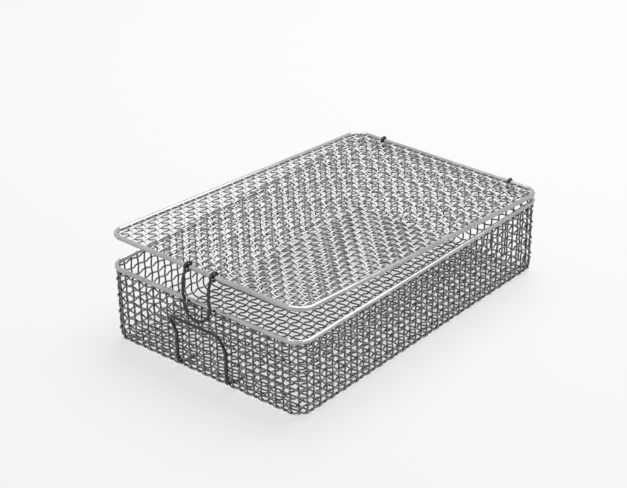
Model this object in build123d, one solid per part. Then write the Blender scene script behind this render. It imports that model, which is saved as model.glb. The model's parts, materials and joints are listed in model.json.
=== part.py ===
"""Stainless steel woven-wire autoclave basket with a hinged lid and a wire latch.

Millimetres, +Z up. The origin is the centre of the base, on the plane it stands on. The latch is
at the front, which faces -Y, and the lid's hinges are at the back. The lid stands a little ajar.
"""

from build123d import *
import math
import os

# Frame rods
rim_width = 160.0  # rod centre to rod centre, along X
rim_length = 253.2  # rod centre to rod centre, along Y
rim_height = 54.5  # rod centre above the base
rim_rod_diameter = 3.2
corner_radius = 11.0  # of the rods' centre line, in plan
lid_front_setback = 0.5  # the lid's front rod falls this far short of the rim's, along the lid
hinge_rise = 4.9  # hinge axis above the centre of the basket's rim rod
lid_ajar_deg = 4.04  # the lid's slope as it stands
rod_sides = 16  # rods and wires are round, drawn with this many narrow flats
bend_step_deg = 22.5  # bends are mitred in steps of about this

# Woven wire sheet, drawn as a lattice of flat ridges in two layers
ridge_thickness = 1.2  # of one layer
ridge_width = 2.0
bend_radius = 5.0  # of the sheet's mid surface, from the floor into the walls
long_wire_count = 9  # across the width
cross_wire_count = 11  # along the length
edge_wire_inset = 13.0  # outermost straight wires, in from the rim rod's centre
ring_count = 3  # round the walls
first_ring_height = 9.2
ring_pitch = 14.7

# Latch
latch_wire_diameter = 2.0
latch_half_width = 10.8
latch_eye_clearance = 0.25
latch_eye_turn_deg = 280.0
latch_eye_tail = 2.0  # straight wire below the eye
latch_leg_offset = 4.6  # legs stand this far out from the lid rod's centre
latch_shoulder_depth = 7.0  # below the lid rod's centre, where the legs reach that offset
latch_kink_start = 17.0
latch_kink_depth = 21.0
latch_kink_inset = 1.6
latch_reach = 31.9  # lid rod's centre to the centre of the finger loop's lowest wire
latch_lean_deg = 3.84  # outward lean of the legs as the lid stands
latch_bends = [3.0, 4.0, 3.0, 1.5, 10.0]  # from the eye down to the finger loop

# Catch
catch_wire_diameter = 2.1
catch_half_width = 21.0
catch_bar_height = 43.0
catch_bar_stand_off = 8.0  # bar's centre out from the rim rod's centre
catch_straight_height = 28.0  # legs lie on the wall up to here
catch_entry_height = 5.9  # legs turn in through the wall here
catch_foot_rest = 7.2  # where the foot reaches the floor, in from the rim rod's centre
catch_foot_end = 14.0  # foot's end in from the rim rod's centre
catch_bends = [8.0, 3.0, 8.0, 4.5]  # from the foot up to the bar

# Hinge rings
ring_wire_diameter = 1.6
hinge_ring_x = 55.5
hinge_clearance = 0.05

half_width = rim_width / 2
half_length = rim_length / 2
rim_radius = rim_rod_diameter / 2
mesh_thickness = 2 * ridge_thickness
floor_mid = ridge_thickness
wall_rise = rim_height - floor_mid
lid_length = rim_length - lid_front_setback  # hinge axis to the centre of the lid's front rod
layer_offset = ridge_thickness / 2
hinge_y = half_length
hinge_z = rim_height + hinge_rise
lid_placement = Pos(0, hinge_y, hinge_z) * Rot(X=-lid_ajar_deg)
latch_placement = lid_placement * Pos(0, -lid_length, 0) * Rot(X=lid_ajar_deg - latch_lean_deg)


def even_places(count, pitch):
    """Places of count like things at one pitch, centred on zero."""
    middle = (count - 1) / 2
    return [(index - middle) * pitch for index in range(count)]


def mitre_points(edge):
    """Corners of the runs that stand for a bend, each run tangent to it; none on a straight."""
    if edge.geom_type == GeomType.LINE:
        return []
    turn = math.degrees(edge.length / edge.radius)
    steps = math.ceil(round(turn / bend_step_deg, 6))
    spread = 1 / math.cos(math.radians(turn / steps / 2))
    centre = edge.arc_center
    return [centre + (edge @ ((step + 0.5) / steps) - centre) * spread for step in range(steps)]


def rod_along(edges, diameter, closed=False):
    """A rod bent along straight runs and tangent arcs; a closed one starts halfway along a run."""
    corners = [corner for edge in edges for corner in mitre_points(edge)]
    if closed:
        seam = (corners[0] + corners[-1]) / 2
        line = Polyline(seam, *corners, seam)
    else:
        line = Polyline(edges[0] @ 0, *corners, edges[-1] @ 1)
    section = Plane(origin=line @ 0, z_dir=line % 0) * RegularPolygon(diameter / 2, rod_sides)
    return sweep(section, line, transition=Transition.RIGHT)


def rod_frame(length, diameter):
    """A closed rod in the XY plane, the rim's width across, its middle at the origin."""
    path = RectangleRounded(rim_width, length, corner_radius).wire()
    return rod_along(path.edges(), diameter, closed=True)


def tray_profile(half_span, layer):
    """Section of one wire that crosses the floor and climbs two walls, up to the rim's centre."""
    outer = layer + ridge_thickness / 2
    inner = layer - ridge_thickness / 2
    outside = RectangleRounded(2 * (half_span + outer), 2 * (wall_rise + outer), bend_radius + outer)
    inside = RectangleRounded(2 * (half_span + inner), 2 * (wall_rise + inner), bend_radius + inner)
    lower_half = Pos(0, -wall_rise) * Rectangle(4 * half_span, 2 * wall_rise)
    return (outside - inside) & lower_half


def wall_ring(height):
    """One wire round the four walls, halfway between the two layers."""
    outer = ridge_thickness / 2
    outside = RectangleRounded(rim_width + 2 * outer, rim_length + 2 * outer, corner_radius + outer)
    inside = RectangleRounded(rim_width - 2 * outer, rim_length - 2 * outer, corner_radius - outer)
    return Pos(0, 0, height) * extrude(outside - inside, ridge_width / 2, both=True)


def basket_rim():
    return Pos(0, 0, rim_height) * rod_frame(rim_length, rim_rod_diameter)


def basket_mesh(rim):
    """The tray of woven wire, its top edges coped on the rim rod."""
    long_pitch = (rim_width - 2 * edge_wire_inset) / (long_wire_count - 1)
    cross_pitch = (rim_length - 2 * edge_wire_inset) / (cross_wire_count - 1)
    long_profile = Pos(0, rim_height) * tray_profile(half_length, layer_offset)
    cross_profile = Pos(0, rim_height) * tray_profile(half_width, -layer_offset)
    wires = []
    for x in even_places(long_wire_count, long_pitch):
        wires.append(extrude(Plane.YZ.offset(x) * long_profile, ridge_width / 2, both=True))
    for y in even_places(cross_wire_count, cross_pitch):
        wires.append(extrude(Plane.XZ.offset(-y) * cross_profile, ridge_width / 2, both=True))
    for index in range(ring_count):
        wires.append(wall_ring(first_ring_height + index * ring_pitch))
    return (Part() + wires) - rim


def catch_wire():
    """An inverted U of wire on the front wall; its bar stands out for the latch to hook under."""
    radius = catch_wire_diameter / 2
    leg_y = -(half_length + ridge_thickness / 2 + radius)
    bar_y = -(half_length + catch_bar_stand_off)
    foot_z = mesh_thickness + radius
    leg = [
        (catch_half_width, -(half_length - catch_foot_end), foot_z),
        (catch_half_width, -(half_length - catch_foot_rest), foot_z),
        (catch_half_width, leg_y, catch_entry_height),
        (catch_half_width, leg_y, catch_straight_height),
        (catch_half_width, bar_y, catch_bar_height),
    ]
    other_leg = [(-x, y, z) for x, y, z in reversed(leg)]
    path = FilletPolyline(*leg, *other_leg, radius=catch_bends + catch_bends[::-1])
    return rod_along(path.edges(), catch_wire_diameter)


def hinge_ring(x):
    """An oval wire ring round both rear rods: fast on the rim's, free on the lid's."""
    bend = rim_radius + hinge_clearance + ring_wire_diameter / 2
    low = rim_height + hinge_clearance
    path_face = SlotCenterToCenter(hinge_z - low, 2 * bend, rotation=90)
    ring_plane = Plane(origin=(x, hinge_y, (hinge_z + low) / 2), x_dir=(0, 1, 0), z_dir=(1, 0, 0))
    return rod_along((ring_plane * path_face).wire().edges(), ring_wire_diameter, closed=True)


def lid_rim():
    return lid_placement * Pos(0, -lid_length / 2, 0) * rod_frame(lid_length, rim_rod_diameter)


def lid_mesh(rim):
    """The lid's flat sheet of woven wire, its ends coped on the lid's rod."""
    long_pitch = (rim_width - 2 * edge_wire_inset) / (long_wire_count - 1)
    cross_pitch = lid_length / (cross_wire_count + 1)
    wires = []
    for x in even_places(long_wire_count, long_pitch):
        wires.append(Pos(x, 0, -layer_offset) * Box(ridge_width, lid_length, ridge_thickness))
    for y in even_places(cross_wire_count, cross_pitch):
        wires.append(Pos(0, y, layer_offset) * Box(rim_width, ridge_width, ridge_thickness))
    sheet = lid_placement * Pos(0, -lid_length / 2, 0) * (Part() + wires)
    return sheet - rim


def latch_loop():
    """One wire: an eye round the lid's front rod at each end, and a finger loop between them."""
    eye_radius = rim_radius + latch_eye_clearance + latch_wire_diameter / 2
    leg = [
        (latch_half_width, -eye_radius, 0),
        (latch_half_width, -eye_radius, -latch_eye_tail),
        (latch_half_width, -latch_leg_offset, -latch_shoulder_depth),
        (latch_half_width, -latch_leg_offset, -latch_kink_start),
        (latch_half_width, -(latch_leg_offset - latch_kink_inset), -latch_kink_depth),
        (latch_half_width, -latch_leg_offset, -latch_reach),
    ]
    other_leg = [(-x, y, z) for x, y, z in reversed(leg)]
    loop = FilletPolyline(*leg, *other_leg, radius=latch_bends + latch_bends[::-1])
    turn = latch_eye_turn_deg
    first_eye = Plane.YZ.offset(latch_half_width) * CenterArc((0, 0), eye_radius, 180 - turn, turn)
    last_eye = Plane.YZ.offset(-latch_half_width) * CenterArc((0, 0), eye_radius, 180, -turn)
    edges = [*first_eye.edges(), *loop.edges(), *last_eye.edges()]
    return latch_placement * rod_along(edges, latch_wire_diameter)


rim = basket_rim()
lid_frame = lid_rim()
nodes = {
    "basket_rim": rim,
    "basket_mesh": basket_mesh(rim),
    "catch_wire": catch_wire(),
    "hinge_ring_left": hinge_ring(-hinge_ring_x),
    "hinge_ring_right": hinge_ring(hinge_ring_x),
    "lid_rim": lid_frame,
    "lid_mesh": lid_mesh(lid_frame),
    "latch_loop": latch_loop(),
}
os.makedirs("parts", exist_ok=True)
for name, shape in nodes.items():
    export_step(shape, f"parts/{name}.step")
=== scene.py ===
import json
import math
import bpy
import numpy as np
from mathutils import Matrix, Quaternion, Vector


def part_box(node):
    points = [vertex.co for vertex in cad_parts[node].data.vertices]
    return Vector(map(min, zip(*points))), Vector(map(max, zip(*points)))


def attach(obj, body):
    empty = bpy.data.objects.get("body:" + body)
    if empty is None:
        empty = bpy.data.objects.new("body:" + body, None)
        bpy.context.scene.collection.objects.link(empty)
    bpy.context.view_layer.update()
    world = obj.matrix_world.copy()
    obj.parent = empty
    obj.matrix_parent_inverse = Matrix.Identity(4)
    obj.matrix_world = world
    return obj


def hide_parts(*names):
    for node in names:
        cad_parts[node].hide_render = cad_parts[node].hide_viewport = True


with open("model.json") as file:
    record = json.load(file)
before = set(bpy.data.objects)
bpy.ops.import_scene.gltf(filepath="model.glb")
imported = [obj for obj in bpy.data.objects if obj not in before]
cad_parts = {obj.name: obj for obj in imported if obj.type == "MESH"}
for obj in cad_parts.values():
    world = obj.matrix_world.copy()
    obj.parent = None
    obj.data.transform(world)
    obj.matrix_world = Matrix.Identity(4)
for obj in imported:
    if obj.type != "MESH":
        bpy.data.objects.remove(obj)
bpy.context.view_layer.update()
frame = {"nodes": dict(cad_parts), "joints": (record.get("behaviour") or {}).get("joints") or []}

# Autoclave basket: woven wire tray and lid, round frame rods, latch, catch and hinge rings.
# Lengths are in metres; mm turns a size in millimetres into metres.
mm = 0.001
scene = bpy.context.scene
jointPlace = {joint["name"]: Vector(joint["pos_m"]) for joint in frame["joints"]}


# steel finishes, and the one stainless steel in lit and shaded copies: painted light and shade

polish = {
    "cloudScale": 0.25,  # of the streaks' own scale
    "cloudDetail": 3,
    "streakDetail": 2,
    "darkest": (0.82, 0.82, 0.83),  # of the written colour
    "lightest": (1.12, 1.12, 1.12),
    "rampEnds": (0.3, 0.7),
    "scratchDepth": 0.1 * mm,
}
# the colours below are one stainless steel painted lighter or darker for how light falls on each part. The
# lid wires and frame rods are painted light. The basket's floor and wall wires are painted shade, and its
# ring wires are painted a little less dark. The latch, catch and hinge rings are painted near-black shade.
# Roughness, streaks and bump are the steel's own finish
steelFinishAndPaintedLight = {
    "meshWire": {"colour": (0.155, 0.155, 0.158, 1), "rough": (0.14, 0.28), "streak": 900, "bump": 0.06},
    "ringWire": {"colour": (0.20, 0.20, 0.203, 1), "rough": (0.16, 0.30), "streak": 900, "bump": 0.06},
    "lidWire": {"colour": (0.43, 0.43, 0.434, 1), "rough": (0.16, 0.30), "streak": 900, "bump": 0.06},
    "frameRod": {"colour": (0.42, 0.42, 0.424, 1), "rough": (0.10, 0.20), "streak": 420, "bump": 0.04},
    "bentWire": {"colour": (0.062, 0.062, 0.063, 1), "rough": (0.14, 0.28), "streak": 600, "bump": 0.05},
}


def steelMaterial(name, finishAndPaintedLight):
    # drawn stainless wire: an even colour, painted lighter or darker for each part as light falls on it
    # (painted light and shade), a little cloudiness in its polish, fine scratches as bump
    material = bpy.data.materials.new(name)
    material.use_nodes = True
    nodes, links = material.node_tree.nodes, material.node_tree.links
    shader = nodes["Principled BSDF"]
    shader.inputs["Metallic"].default_value = 1.0
    place = nodes.new("ShaderNodeTexCoord")

    cloud = nodes.new("ShaderNodeTexNoise")
    cloud.inputs["Scale"].default_value = finishAndPaintedLight["streak"] * polish["cloudScale"]
    cloud.inputs["Detail"].default_value = polish["cloudDetail"]
    links.new(place.outputs["Object"], cloud.inputs["Vector"])
    rough = nodes.new("ShaderNodeMapRange")
    rough.inputs["To Min"].default_value, rough.inputs["To Max"].default_value = finishAndPaintedLight["rough"]
    links.new(cloud.outputs["Fac"], rough.inputs["Value"])
    links.new(rough.outputs["Result"], shader.inputs["Roughness"])

    tone = nodes.new("ShaderNodeValToRGB")
    ends = zip(tone.color_ramp.elements, polish["rampEnds"], (polish["darkest"], polish["lightest"]))
    for end, position, shares in ends:
        end.position = position
        end.color = (*[channel * share for channel, share in zip(finishAndPaintedLight["colour"], shares)], 1)
    links.new(cloud.outputs["Fac"], tone.inputs["Fac"])
    links.new(tone.outputs["Color"], shader.inputs["Base Color"])

    scratch = nodes.new("ShaderNodeTexNoise")
    scratch.inputs["Scale"].default_value = finishAndPaintedLight["streak"]
    scratch.inputs["Detail"].default_value = polish["streakDetail"]
    links.new(place.outputs["Object"], scratch.inputs["Vector"])
    bump = nodes.new("ShaderNodeBump")
    bump.inputs["Strength"].default_value = finishAndPaintedLight["bump"]
    bump.inputs["Distance"].default_value = polish["scratchDepth"]
    links.new(scratch.outputs["Fac"], bump.inputs["Height"])
    links.new(bump.outputs["Normal"], shader.inputs["Normal"])
    return material


# one material for each lit or shaded copy of the steel: painted light and shade
steel = {name: steelMaterial(name, finishAndPaintedLight) for name, finishAndPaintedLight in steelFinishAndPaintedLight.items()}
print("finishes ready")


# woven wire

weave = {
    "pitch": 6.0 * mm,
    "wireRadius": 0.6 * mm,
    "deep": 0.9 * mm,  # how far a crimped wire's centre line swings each side of the sheet
    "slight": 0.3 * mm,  # the same for the straighter wires that it is woven with
    "sides": 8,
    "stepsPerCrossing": 5,
    "topGap": 1.5,  # wire radii, at least, from the highest ring's middle up to the rim's rod
    "cornerStart": 0.3,  # of the corner's radius, where its wires begin on the floor
}
nearNothing = 1e-9


class WireBundle:
    # many bent wires gathered in one mesh
    def __init__(self):
        self.points, self.faces = [], []
        self.count = 0

    def add(self, line, binormal, closed=False):
        # line: N x 3 centre points of a plane curve; binormal: the plane's normal
        sides, radius = weave["sides"], weave["wireRadius"]
        if closed:
            tangent = np.roll(line, -1, 0) - np.roll(line, 1, 0)
        else:
            tangent = np.gradient(line, axis=0)
        tangent /= np.linalg.norm(tangent, axis=1)[:, None]
        across = np.broadcast_to(np.asarray(binormal, float), line.shape)
        normal = np.cross(tangent, across)
        normal /= np.linalg.norm(normal, axis=1)[:, None]
        turn = (np.arange(sides) + 0.5) * 2 * math.pi / sides
        ring = (line[:, None, :] + radius * (np.cos(turn)[None, :, None] * normal[:, None, :]
                                             + np.sin(turn)[None, :, None] * across[:, None, :]))
        start, rows = self.count, len(line)
        self.points.append(ring.reshape(-1, 3))
        self.count += rows * sides
        last = rows if closed else rows - 1
        for row in range(last):
            here, there = start + row * sides, start + (row + 1) % rows * sides
            for side in range(sides):
                after = (side + 1) % sides
                self.faces.append((here + side, there + side, there + after, here + after))
        if not closed:
            self.faces.append(tuple(start + side for side in range(sides)))
            self.faces.append(tuple(start + (rows - 1) * sides + side for side in reversed(range(sides))))

    def build(self, name, body, node, material):
        mesh = bpy.data.meshes.new(name)
        mesh.from_pydata(np.concatenate(self.points).tolist(), [], self.faces)
        mesh.polygons.foreach_set("use_smooth", [True] * len(mesh.polygons))
        mesh.update()
        piece = bpy.data.objects.new(name, mesh)
        scene.collection.objects.link(piece)
        piece.data.materials.append(material)
        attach(piece, body)
        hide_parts(node)
        print(name, len(mesh.polygons), "faces")
        return piece


def stations(crossings, start, end):
    # places along a wire at which it is drawn: the same number between any two crossings
    marks = [start, *[place for place, swing in crossings], end]
    steps = weave["stepsPerCrossing"]
    places = [marks[0]]
    for low, high in zip(marks, marks[1:]):
        if high - low > nearNothing:
            places += list(np.linspace(low, high, steps + 1)[1:])
    return np.array(places)


def crimpAt(places, crossings):
    # smooth swing from one crossing's side of the sheet to the next one's
    pitch = weave["pitch"]
    knots = [crossings[0][0] - pitch] + [place for place, swing in crossings] + [crossings[-1][0] + pitch]
    swings = [-crossings[0][1]] + [swing for place, swing in crossings] + [-crossings[-1][1]]
    knots, swings = np.array(knots), np.array(swings)
    left = np.clip(np.searchsorted(knots, places, side="right") - 1, 0, len(knots) - 2)
    share = (places - knots[left]) / (knots[left + 1] - knots[left])
    blend = (1 + np.cos(math.pi * np.clip(share, 0, 1))) / 2
    return swings[left] * blend + swings[left + 1] * (1 - blend)


# basket sheet

rimLow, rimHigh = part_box("basket_rim")
rodRadius = (rimHigh.z - rimLow.z) / 2
tray = {
    "halfWidth": rimHigh.x - rodRadius,
    "halfLength": rimHigh.y - rodRadius,
    "rimHeight": (rimHigh.z + rimLow.z) / 2,
    "cornerRadius": 11.0 * mm,
    "bendRadius": 5.0 * mm,  # from the floor into the walls
    "floorMid": 1.5 * mm,  # height of the middle of the floor's sheet
}


def trayCurve(halfSpan, places):
    # one wire's base line over the floor and up two walls, by distance from the floor's middle:
    # across, height and the outward normal of the sheet
    bend, middle = tray["bendRadius"], tray["floorMid"]
    flat = halfSpan - bend
    sign, far = np.sign(places), np.abs(places)
    angle = np.clip((far - flat) / bend, 0, math.pi / 2)
    rise = np.maximum(far - flat - bend * math.pi / 2, 0)
    across = sign * (np.minimum(far, flat) + bend * np.sin(angle))
    height = middle + bend * (1 - np.cos(angle)) + rise
    return across, height, sign * np.sin(angle), -np.cos(angle)


def distanceAtRing(halfSpan, ring):
    # distance along a floor-and-wall wire to where it meets a ring wire
    bend = tray["bendRadius"]
    if ring == 0:
        return halfSpan - bend + bend * firstRingAngle
    return halfSpan - bend + bend * math.pi / 2 + ringHeights[ring] - tray["floorMid"] - bend


def ringPoint(place, inset):
    # a point of the wall's base line in plan, by distance round from the front's middle
    halfX, halfY, corner = tray["halfWidth"], tray["halfLength"], tray["cornerRadius"]
    flatX, flatY, arc = halfX - corner, halfY - corner, corner * math.pi / 2
    quarter = flatX + arc + flatY
    lap = place % (4 * quarter)
    index = int(lap // quarter)
    along = lap - index * quarter
    if index % 2:
        along = quarter - along
    if along <= flatX:
        x, y, nx, ny = along, halfY, 0.0, 1.0
    elif along <= flatX + arc:
        turn = (along - flatX) / corner
        nx, ny = math.sin(turn), math.cos(turn)
        x, y = flatX + corner * nx, flatY + corner * ny
    else:
        x, y, nx, ny = halfX, flatY - (along - flatX - arc), 1.0, 0.0
    signX = 1 if index in (0, 1) else -1
    signY = -1 if index in (0, 3) else 1
    return (x - nx * inset) * signX, (y - ny * inset) * signY, nx * signX, ny * signY


pitch = weave["pitch"]
flatX = tray["halfWidth"] - tray["cornerRadius"]
flatY = tray["halfLength"] - tray["cornerRadius"]
cornerArc = tray["cornerRadius"] * math.pi / 2
longWires = int(flatX // pitch)
crossWires = int(flatY // pitch)
bare = (flatX - longWires * pitch) + cornerArc + (flatY - crossWires * pitch)
between = round(bare / pitch)  # gaps from the last long wire to the last cross wire, round a corner
cornerMarks = [longWires * pitch + bare * part / between for part in range(1, between)]
quarterMarks = [part * pitch for part in range(longWires + 1)] + cornerMarks
quarterMarks += [flatX + cornerArc + flatY - part * pitch for part in range(crossWires, -1, -1)]
quarterLength = flatX + cornerArc + flatY

firstRingAt = (crossWires + 2) * pitch
firstRingAngle = (firstRingAt - (tray["halfLength"] - tray["bendRadius"])) / tray["bendRadius"]
ringTop = tray["rimHeight"] - rodRadius - weave["topGap"] * weave["wireRadius"]
wallStart = tray["floorMid"] + tray["bendRadius"]
straightStart = tray["halfLength"] - tray["bendRadius"] + tray["bendRadius"] * math.pi / 2
ringHeights = [tray["floorMid"] + tray["bendRadius"] * (1 - math.cos(firstRingAngle))]
height = wallStart + firstRingAt + pitch - straightStart
while height < ringTop:
    ringHeights.append(height)
    height += pitch
rings = len(ringHeights)
print("basket sheet:", 2 * longWires + 3, "long,", 2 * crossWires + 3, "cross,", rings, "ring wires")


def cornerPlace(mark):
    x, y = ringPoint(mark, 0.0)[:2]
    return x, -y


firstCorner = cornerPlace(cornerMarks[0])
lastCorner = cornerPlace(cornerMarks[-1])
longPlaces = [(part * pitch, tray["halfLength"], part) for part in range(-longWires, longWires + 1)]
longPlaces += [(sign * firstCorner[0], firstCorner[1], longWires + 1) for sign in (-1, 1)]
crossPlaces = [(part * pitch, tray["halfWidth"], part) for part in range(-crossWires, crossWires + 1)]
crossPlaces += [(sign * lastCorner[1], lastCorner[0], crossWires + 1) for sign in (-1, 1)]


def parity(number):
    return 1 if number % 2 == 0 else -1


def floorWire(halfSpan, floorCrossings, wallSwing):
    # crossings on the floor, then each ring up both walls
    wall = [(distanceAtRing(halfSpan, ring), wallSwing * parity(ring)) for ring in range(rings)]
    crossings = [(-place, swing) for place, swing in reversed(wall)] + floorCrossings + wall
    top = distanceAtRing(halfSpan, 1) + tray["rimHeight"] - ringHeights[1]
    places = stations(crossings, -top, top)
    swing = crimpAt(places, crossings)
    across, height, outX, outZ = trayCurve(halfSpan, places)
    return across + outX * swing, height + outZ * swing


deep, slight = weave["deep"], weave["slight"]
longBundle = WireBundle()
crossAt = sorted((place, index) for place, _, index in crossPlaces)
longAt = sorted((place, index) for place, _, index in longPlaces)
for place, halfSpan, index in longPlaces:
    floor = [(y, deep * parity(index + other)) for y, other in crossAt]
    y, z = floorWire(halfSpan, floor, slight * parity(index + crossWires))
    longBundle.add(np.column_stack([np.full_like(y, place), y, z]), (1, 0, 0))
# the basket's long, cross and corner wires take the darkest wire copy of the steel: painted shade
longBundle.build("basket_long_wires", "basket", "basket_mesh", steel["meshWire"])

crossBundle = WireBundle()
for place, halfSpan, index in crossPlaces:
    floor = [(x, -slight * parity(index + other)) for x, other in longAt]
    x, z = floorWire(halfSpan, floor, slight * parity(index + longWires))
    crossBundle.add(np.column_stack([x, np.full_like(x, place), z]), (0, 1, 0))
crossBundle.build("basket_cross_wires", "basket", "basket_mesh", steel["meshWire"])

# known faults: the lowest ring cuts into every wire that it crosses, in the bend, and rings also cut
# into a wire beside each corner, the catch's legs and the hinge rings
ringBundle = WireBundle()
lapMarks = []
for quarter in range(4):
    marks = quarterMarks if quarter % 2 == 0 else [quarterLength - mark for mark in reversed(quarterMarks)]
    lapMarks += [quarter * quarterLength + mark for mark in marks[:-1]]
for ring in range(rings):
    inset = tray["bendRadius"] * (1 - math.sin(firstRingAngle)) if ring == 0 else 0.0
    crossings = [(mark, deep * parity(number + ring)) for number, mark in enumerate(lapMarks)]
    crossings.append((4 * quarterLength, crossings[0][1]))
    places = stations(crossings, 0.0, 4 * quarterLength)[:-1]
    swing = crimpAt(places, crossings)
    line = []
    for place, offset in zip(places, swing):
        x, y, nx, ny = ringPoint(place, inset)
        line.append((x + nx * offset, y + ny * offset, ringHeights[ring]))
    ringBundle.add(np.array(line), (0, 0, 1), closed=True)
# the ring wires take a steel copy painted a little lighter than the basket's other wires: painted shade,
# less dark
ringBundle.build("basket_ring_wires", "basket", "basket_mesh", steel["ringWire"])

# the wires in the middle of each corner run from the rim down to the floor's corner
cornerBundle = WireBundle()
reach = tray["cornerRadius"]
for number, mark in enumerate(cornerMarks[1:-1]):
    nx, ny = ringPoint(mark, 0.0)[2:]
    first = longWires + 2 + number
    crossings = [(distanceAtRing(reach, ring), -slight * parity(first + ring)) for ring in range(rings)]
    top = distanceAtRing(reach, 1) + tray["rimHeight"] - ringHeights[1]
    places = stations(crossings, weave["cornerStart"] * reach, top)
    swing = crimpAt(places, crossings)
    out, z, outX, outZ = trayCurve(reach, places)
    out, z = out + outX * swing, z + outZ * swing
    for signX in (-1, 1):
        for signY in (-1, 1):
            heading = np.array([signX * abs(nx), signY * abs(ny)])
            base = np.array([signX * flatX, signY * flatY])
            plan = base[None, :] + out[:, None] * heading[None, :]
            side = (-heading[1], heading[0], 0)
            cornerBundle.add(np.column_stack([plan, z]), side)
cornerBundle.build("basket_corner_wires", "basket", "basket_mesh", steel["meshWire"])


# lid sheet

hinge, lidFront = jointPlace["lid_hinge"], jointPlace["latch_swing"]
lid = {
    "length": (lidFront - hinge).length,
    "slope": math.atan2(lidFront.z - hinge.z, hinge.y - lidFront.y),
    "cornerRadius": 11.0 * mm,
}
lidPlacement = Matrix.Translation((0, hinge.y, hinge.z)) @ Matrix.Rotation(-lid["slope"], 4, "X")


def cornerCut(distance):
    # how far a rounded corner comes in, at this distance from the straight edge beside it
    radius = lid["cornerRadius"]
    if distance >= radius:
        return 0.0
    return radius - math.sqrt(radius ** 2 - (radius - distance) ** 2)


def lidToWorld(points):
    rotation, shift = np.array(lidPlacement.to_3x3()), np.array(lidPlacement.translation)
    return points @ rotation.T + shift


lidHalf = tray["halfWidth"]
lidRows = [part * pitch for part in range(1, int(lid["length"] // pitch))]
lidColumns = [(part + 0.5) * pitch for part in range(-int(lidHalf // pitch), int(lidHalf // pitch))]
sideways = np.array(lidPlacement.to_3x3() @ Vector((1, 0, 0)))
lengthways = np.array(lidPlacement.to_3x3() @ Vector((0, 1, 0)))
lidLong = WireBundle()
for column, x in enumerate(lidColumns):
    cut = cornerCut(lidHalf - abs(x))
    end = lid["length"] - cut
    crossings = [(y, slight * parity(column + row)) for row, y in enumerate(lidRows) if cut < y < end]
    places = stations(crossings, cut, end)
    z = crimpAt(places, crossings)
    lidLong.add(lidToWorld(np.column_stack([np.full_like(places, x), -places, z])), sideways)
# the lid's wires take a light copy of the steel: painted light
lidLong.build("lid_long_wires", "lid", "lid_mesh", steel["lidWire"])

lidCross = WireBundle()
for row, y in enumerate(lidRows):
    cut = cornerCut(min(y, lid["length"] - y))
    end = lidHalf - cut
    crossings = [(x, -deep * parity(column + row)) for column, x in enumerate(lidColumns) if abs(x) < end]
    places = stations(crossings, -end, end)
    z = crimpAt(places, crossings)
    lidCross.add(lidToWorld(np.column_stack([places, np.full_like(places, -y), z])), lengthways)
lidCross.build("lid_cross_wires", "lid", "lid_mesh", steel["lidWire"])


# rods, latch, catch and hinge rings keep their own shapes; the rods take a light copy of the steel, painted
# light, and the latch, catch and hinge rings a near-black copy, painted shade

finishAndPaintedLightOf = {
    "basket_rim": "frameRod",
    "lid_rim": "frameRod",
    "catch_wire": "bentWire",
    "latch_loop": "bentWire",
    "hinge_ring_left": "bentWire",
    "hinge_ring_right": "bentWire",
}
for node, finishAndPaintedLight in finishAndPaintedLightOf.items():
    piece = frame["nodes"][node]
    piece.data.materials.clear()
    piece.data.materials.append(steel[finishAndPaintedLight])
    piece.data.polygons.foreach_set("use_smooth", [True] * len(piece.data.polygons))
print("rods and bent wires dressed")


# floor, backdrop, lights and camera

studio = {
    "floorSize": 6.0,
    "floorGap": 0.1 * mm,  # under the basket
    "floorColour": (0.945, 0.945, 0.945, 1),
    "cleanFloor": 0.62,  # share of plain white in what is seen of the floor
    "dome": 0.35,  # strength of the even light from all round
    "skySeen": 1.0,  # the same share for the sky
    "white": (1, 1, 1, 1),
}


def seenRays(tree, share):
    # share of plain white for what the camera, metal and glass see; lighting rays get none of it
    nodes, links = tree.nodes, tree.links
    rays = nodes.new("ShaderNodeLightPath")
    either = rays.outputs["Is Camera Ray"]
    for ray in ("Is Glossy Ray", "Is Transmission Ray"):
        most = nodes.new("ShaderNodeMath")
        most.operation = "MAXIMUM"
        links.new(either, most.inputs[0])
        links.new(rays.outputs[ray], most.inputs[1])
        either = most.outputs[0]
    scaled = nodes.new("ShaderNodeMath")
    scaled.operation = "MULTIPLY"
    scaled.inputs[1].default_value = share
    links.new(either, scaled.inputs[0])
    return scaled.outputs[0]


def makeFloor():
    half = studio["floorSize"] / 2
    corners = [(-half, -half, 0), (half, -half, 0), (half, half, 0), (-half, half, 0)]
    mesh = bpy.data.meshes.new("studioFloor")
    mesh.from_pydata(corners, [], [(0, 1, 2, 3)])
    floor = bpy.data.objects.new("studioFloor", mesh)
    scene.collection.objects.link(floor)
    floor.location.z = -studio["floorGap"]
    material = bpy.data.materials.new("paleFloor")
    material.use_nodes = True
    nodes, links = material.node_tree.nodes, material.node_tree.links
    nodes.clear()
    matt = nodes.new("ShaderNodeBsdfDiffuse")
    matt.inputs["Color"].default_value = studio["floorColour"]
    plain = nodes.new("ShaderNodeEmission")
    mix = nodes.new("ShaderNodeMixShader")
    links.new(seenRays(material.node_tree, studio["cleanFloor"]), mix.inputs[0])
    links.new(matt.outputs[0], mix.inputs[1])
    links.new(plain.outputs[0], mix.inputs[2])
    out = nodes.new("ShaderNodeOutputMaterial")
    links.new(mix.outputs[0], out.inputs["Surface"])
    mesh.materials.append(material)


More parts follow.
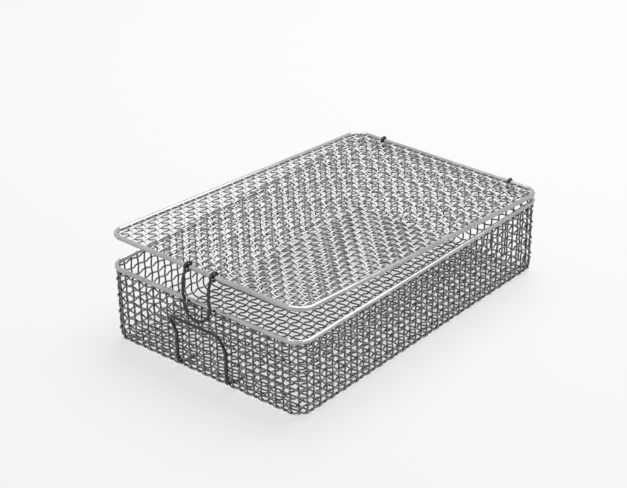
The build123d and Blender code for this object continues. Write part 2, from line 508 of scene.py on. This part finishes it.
def makeSky():
    world = bpy.data.worlds.new("studioSky")
    scene.world = world
    world.use_nodes = True
    nodes, links = world.node_tree.nodes, world.node_tree.links
    nodes.clear()
    dome = nodes.new("ShaderNodeBackground")
    dome.inputs["Color"].default_value = studio["white"]
    dome.inputs["Strength"].default_value = studio["dome"]
    plain = nodes.new("ShaderNodeBackground")
    plain.inputs["Color"].default_value = studio["white"]
    mix = nodes.new("ShaderNodeMixShader")
    links.new(seenRays(world.node_tree, studio["skySeen"]), mix.inputs[0])
    links.new(dome.outputs[0], mix.inputs[1])
    links.new(plain.outputs[0], mix.inputs[2])
    out = nodes.new("ShaderNodeOutputWorld")
    links.new(mix.outputs[0], out.inputs["Surface"])


# softboxes: heading and height as seen from the basket, in degrees, and how far off, in metres
lamps = {
    "overheadLamp": {"heading": -8, "height": 66, "far": 1.4, "size": (1.3, 1.1), "bright": 3.3},
}


def makeLamps():
    for name, lamp in lamps.items():
        data = bpy.data.lights.new(name, "AREA")
        data.shape = "RECTANGLE"
        data.size, data.size_y = lamp["size"]
        data.energy = lamp["bright"] * math.pi * lamp["size"][0] * lamp["size"][1]
        light = bpy.data.objects.new(name, data)
        turn, climb = math.radians(lamp["heading"]), math.radians(lamp["height"])
        away = Vector((math.sin(turn) * math.cos(climb), math.cos(turn) * math.cos(climb), math.sin(climb)))
        light.location = away * lamp["far"]
        light.rotation_euler = (-away).to_track_quat("-Z", "Y").to_euler()
        scene.collection.objects.link(light)


eye = {
    "azimuth": -39.756,
    "elevation": 29.6945,
    "roll": -0.406,
    "distance": 1.22665,
    "lens": 103.59,
    "shift": (-0.02959, 0.0927),
    "sensor": 36,
    "clip": (0.01, 50),
}


def makeCamera():
    data = bpy.data.cameras.new("studioCamera")
    camera = bpy.data.objects.new("studioCamera", data)
    azimuth, elevation = math.radians(eye["azimuth"]), math.radians(eye["elevation"])
    heading = Vector((math.sin(azimuth) * math.cos(elevation), math.cos(azimuth) * math.cos(elevation),
                      -math.sin(elevation)))
    camera.location = -heading * eye["distance"]
    camera.rotation_mode = "QUATERNION"
    level = heading.to_track_quat("-Z", "Y")
    camera.rotation_quaternion = level @ Quaternion((0, 0, 1), math.radians(eye["roll"]))
    data.sensor_fit = "HORIZONTAL"
    data.sensor_width = eye["sensor"]
    data.lens = eye["lens"]
    data.shift_x, data.shift_y = eye["shift"]
    data.clip_start, data.clip_end = eye["clip"]
    scene.collection.objects.link(camera)
    scene.camera = camera


makeFloor()
makeSky()
makeLamps()
makeCamera()
scene.view_settings.view_transform = "Standard"
print("studio ready")
